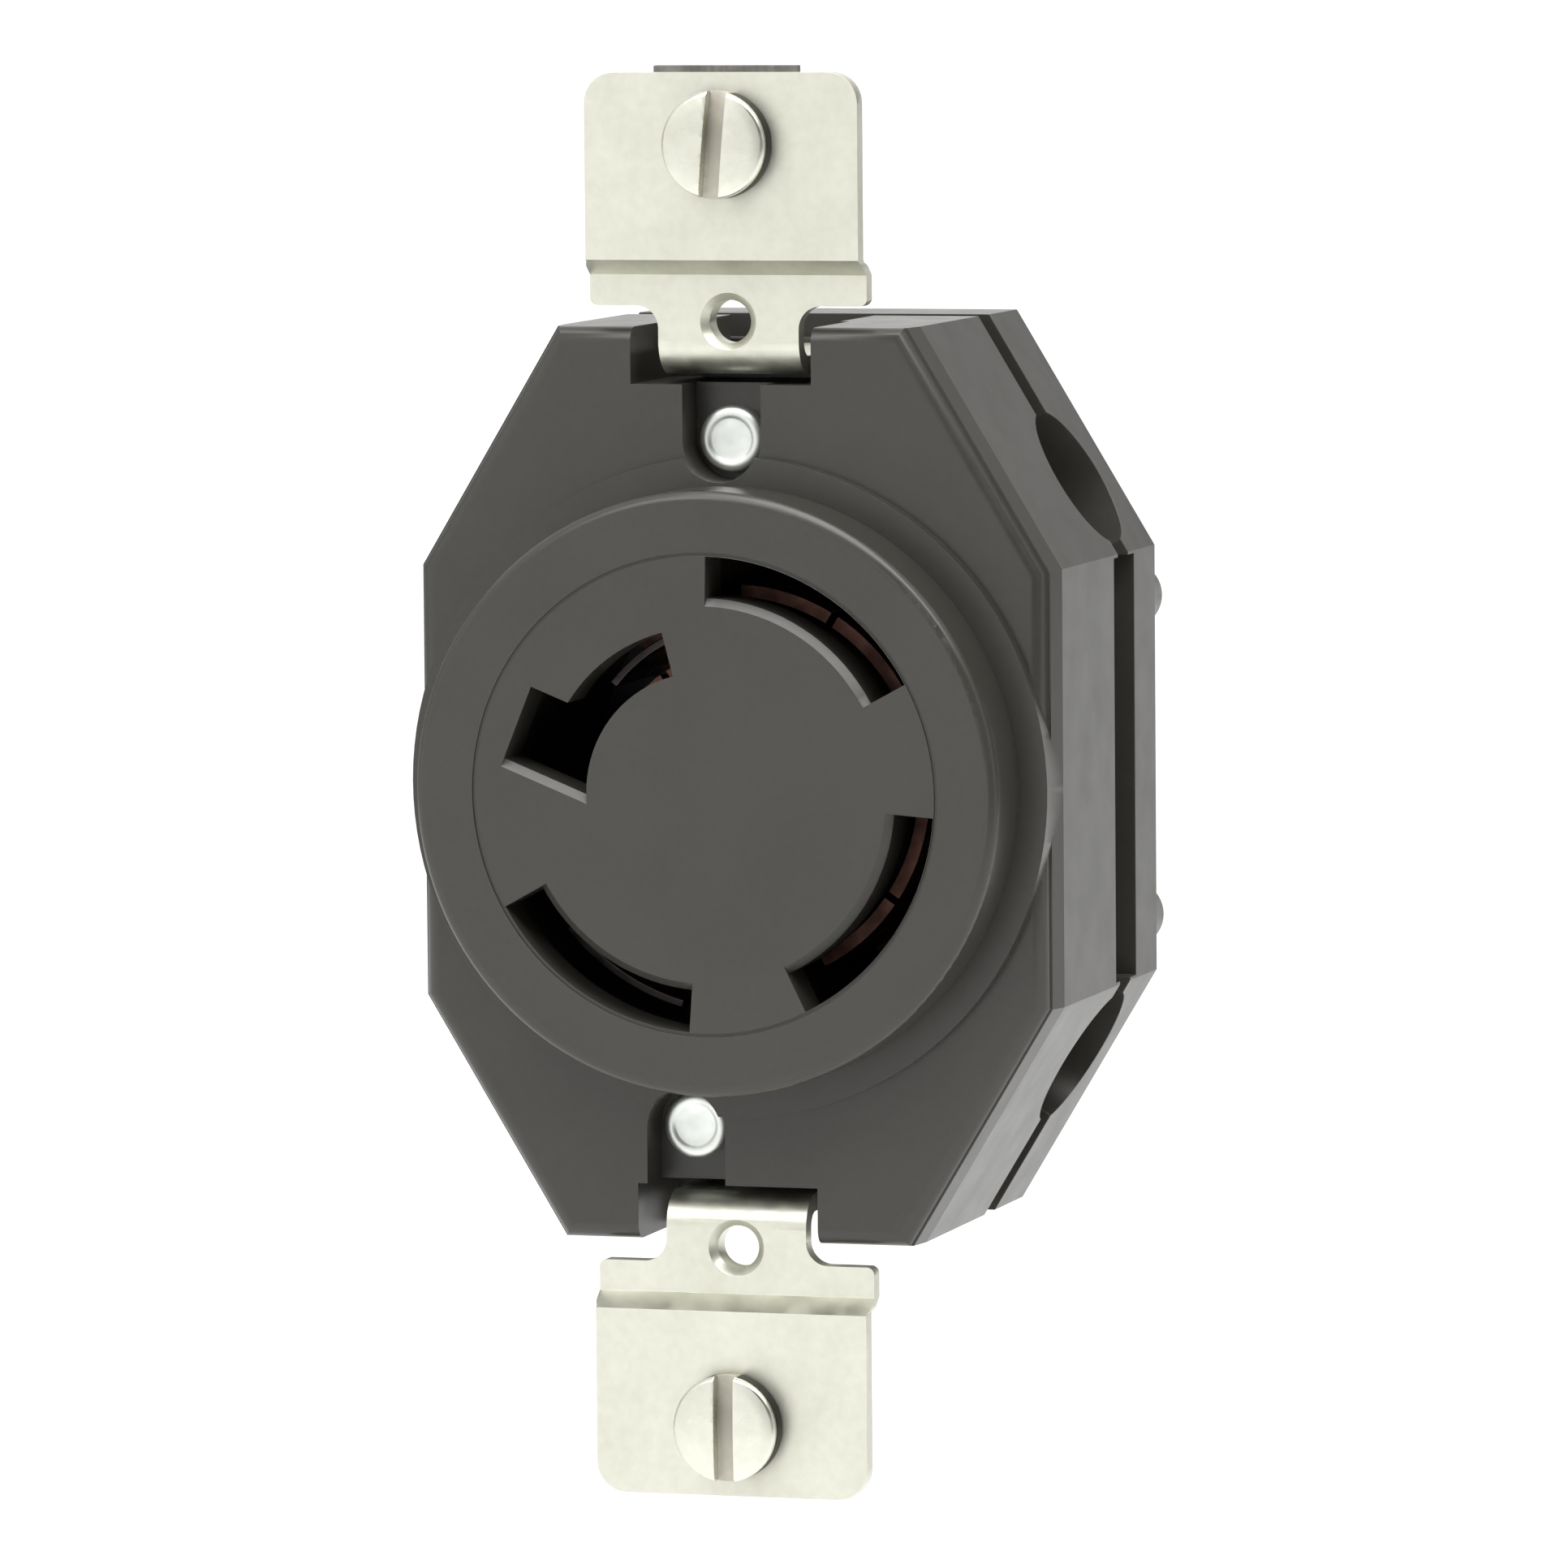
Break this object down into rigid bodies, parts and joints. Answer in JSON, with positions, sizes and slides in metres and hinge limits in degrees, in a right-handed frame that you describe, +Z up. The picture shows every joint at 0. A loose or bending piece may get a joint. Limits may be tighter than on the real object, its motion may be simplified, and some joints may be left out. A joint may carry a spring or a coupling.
{
  "type": "flush locking receptacle",
  "caption": "Flush-mounting locking receptacle: octagonal moulded body, round face with curved blade slots and an L-shaped neutral slot, and plated strap ears with captive box screws.",
  "frame": {"origin": "middle of the box-screw pattern, in the plane of the backs of the screw retainers, which bear on the box", "axes": "+Z up along the strap, -Y out of the face towards the plug, +X to the right seen from the front"},
  "size_m": [0.043, 0.0347, 0.093],
  "materials": {
    "thermoset_front": "satin black-grey moulded thermoset",
    "thermoset_back": "satin black-grey moulded thermoset",
    "plated_strap": "bright zinc-plated steel",
    "plated_screw": "bright zinc-plated steel",
    "fibre": "dark vulcanised fibre",
    "rivet": "bright rolled head",
    "contact_copper": "copper alloy, lightly tarnished",
    "spring_steel": "spring steel",
    "clamp_steel": "zinc-plated steel",
    "terminal_screw": "plated steel"
  },
  "bodies": {
    "root": {"face_boss": "thermoset_front", "front_cover": "thermoset_front", "rear_base": "thermoset_back", "strap_top": "plated_strap", "strap_bottom": "plated_strap", "screw_retainer_top": "fibre", "screw_retainer_bottom": "fibre", "assembly_rivet_top": "rivet", "assembly_rivet_bottom": "rivet", "contact_x": "contact_copper", "contact_y": "contact_copper", "contact_z": "contact_copper", "contact_neutral": "contact_copper"},
    "box_screw_top_body": {"box_screw_top": "plated_screw"},
    "box_screw_bottom_body": {"box_screw_bottom": "plated_screw"},
    "wire_clamp_x_body": {"wire_clamp_x": "clamp_steel"},
    "terminal_screw_x_body": {"terminal_screw_x": "terminal_screw"},
    "contact_spring_x_body": {"contact_spring_x": "spring_steel"},
    "wire_clamp_y_body": {"wire_clamp_y": "clamp_steel"},
    "terminal_screw_y_body": {"terminal_screw_y": "terminal_screw"},
    "contact_spring_y_body": {"contact_spring_y": "spring_steel"},
    "wire_clamp_z_body": {"wire_clamp_z": "clamp_steel"},
    "terminal_screw_z_body": {"terminal_screw_z": "terminal_screw"},
    "contact_spring_z_body": {"contact_spring_z": "spring_steel"},
    "wire_clamp_neutral_body": {"wire_clamp_neutral": "clamp_steel"},
    "terminal_screw_neutral_body": {"terminal_screw_neutral": "terminal_screw"},
    "contact_spring_neutral_body": {"contact_spring_neutral": "spring_steel"}
  },
  "joints": [
    {"name": "box_screw_top_turn", "type": "hinge", "parent": "root", "child": "box_screw_top_body", "pos_m": [0, 0, 0.04167], "axis": [0, 1, 0], "continuous": true},
    {"name": "box_screw_bottom_turn", "type": "hinge", "parent": "root", "child": "box_screw_bottom_body", "pos_m": [0, 0, -0.04167], "axis": [0, 1, 0], "continuous": true},
    {"name": "wire_clamp_x_slide", "type": "slide", "parent": "root", "child": "wire_clamp_x_body", "axis": [0.8565, 0, 0.5161], "range_m": [0, 0.00275]},
    {"name": "terminal_screw_x_turn", "type": "hinge", "parent": "wire_clamp_x_body", "child": "terminal_screw_x_body", "pos_m": [0.01284, 0.0175, 0.01579], "axis": [0.8565, 0, 0.5161], "range_deg": [0, 1248]},
    {"name": "wire_clamp_y_slide", "type": "slide", "parent": "root", "child": "wire_clamp_y_body", "axis": [0.8565, 0, -0.5161], "range_m": [0, 0.00275]},
    {"name": "terminal_screw_y_turn", "type": "hinge", "parent": "wire_clamp_y_body", "child": "terminal_screw_y_body", "pos_m": [0.01284, 0.0175, -0.01579], "axis": [0.8565, 0, -0.5161], "range_deg": [0, 1248]},
    {"name": "wire_clamp_z_slide", "type": "slide", "parent": "root", "child": "wire_clamp_z_body", "axis": [-0.8565, 0, -0.5161], "range_m": [0, 0.00275]},
    {"name": "terminal_screw_z_turn", "type": "hinge", "parent": "wire_clamp_z_body", "child": "terminal_screw_z_body", "pos_m": [-0.01284, 0.0175, -0.01579], "axis": [-0.8565, 0, -0.5161], "range_deg": [0, 1248]},
    {"name": "wire_clamp_neutral_slide", "type": "slide", "parent": "root", "child": "wire_clamp_neutral_body", "axis": [-0.8565, 0, 0.5161], "range_m": [0, 0.00275]},
    {"name": "terminal_screw_neutral_turn", "type": "hinge", "parent": "wire_clamp_neutral_body", "child": "terminal_screw_neutral_body", "pos_m": [-0.01284, 0.0175, 0.01579], "axis": [-0.8565, 0, 0.5161], "range_deg": [0, 1248]},
    {"name": "contact_spring_x_flex", "type": "hinge", "parent": "root", "child": "contact_spring_x_body", "pos_m": [0.0077, 0.0117, 0.01269], "axis": [-0.8549, 0, 0.5188], "range_deg": [0, 4], "stiffness_Nm_per_rad": 0.3},
    {"name": "contact_spring_y_flex", "type": "hinge", "parent": "root", "child": "contact_spring_y_body", "pos_m": [0.01227, 0.0117, -0.00836], "axis": [0.5628, 0, 0.8266], "range_deg": [0, 4], "stiffness_Nm_per_rad": 0.3},
    {"name": "contact_spring_z_flex", "type": "hinge", "parent": "root", "child": "contact_spring_z_body", "pos_m": [-0.00798, 0.0117, -0.01252], "axis": [0.8434, 0, -0.5373], "range_deg": [0, 4], "stiffness_Nm_per_rad": 0.3},
    {"name": "contact_spring_neutral_flex", "type": "hinge", "parent": "root", "child": "contact_spring_neutral_body", "pos_m": [-0.00587, 0.0117, 0.0087], "axis": [-0.829, 0, -0.5592], "range_deg": [0, 4], "stiffness_Nm_per_rad": 0.3}
  ],
  "couplings": [
    {"joint": "terminal_screw_x_turn", "follows": "wire_clamp_x_slide", "rad_per_m": 7915.8},
    {"joint": "terminal_screw_y_turn", "follows": "wire_clamp_y_slide", "rad_per_m": 7915.8},
    {"joint": "terminal_screw_z_turn", "follows": "wire_clamp_z_slide", "rad_per_m": 7915.8},
    {"joint": "terminal_screw_neutral_turn", "follows": "wire_clamp_neutral_slide", "rad_per_m": 7915.8}
  ]
}
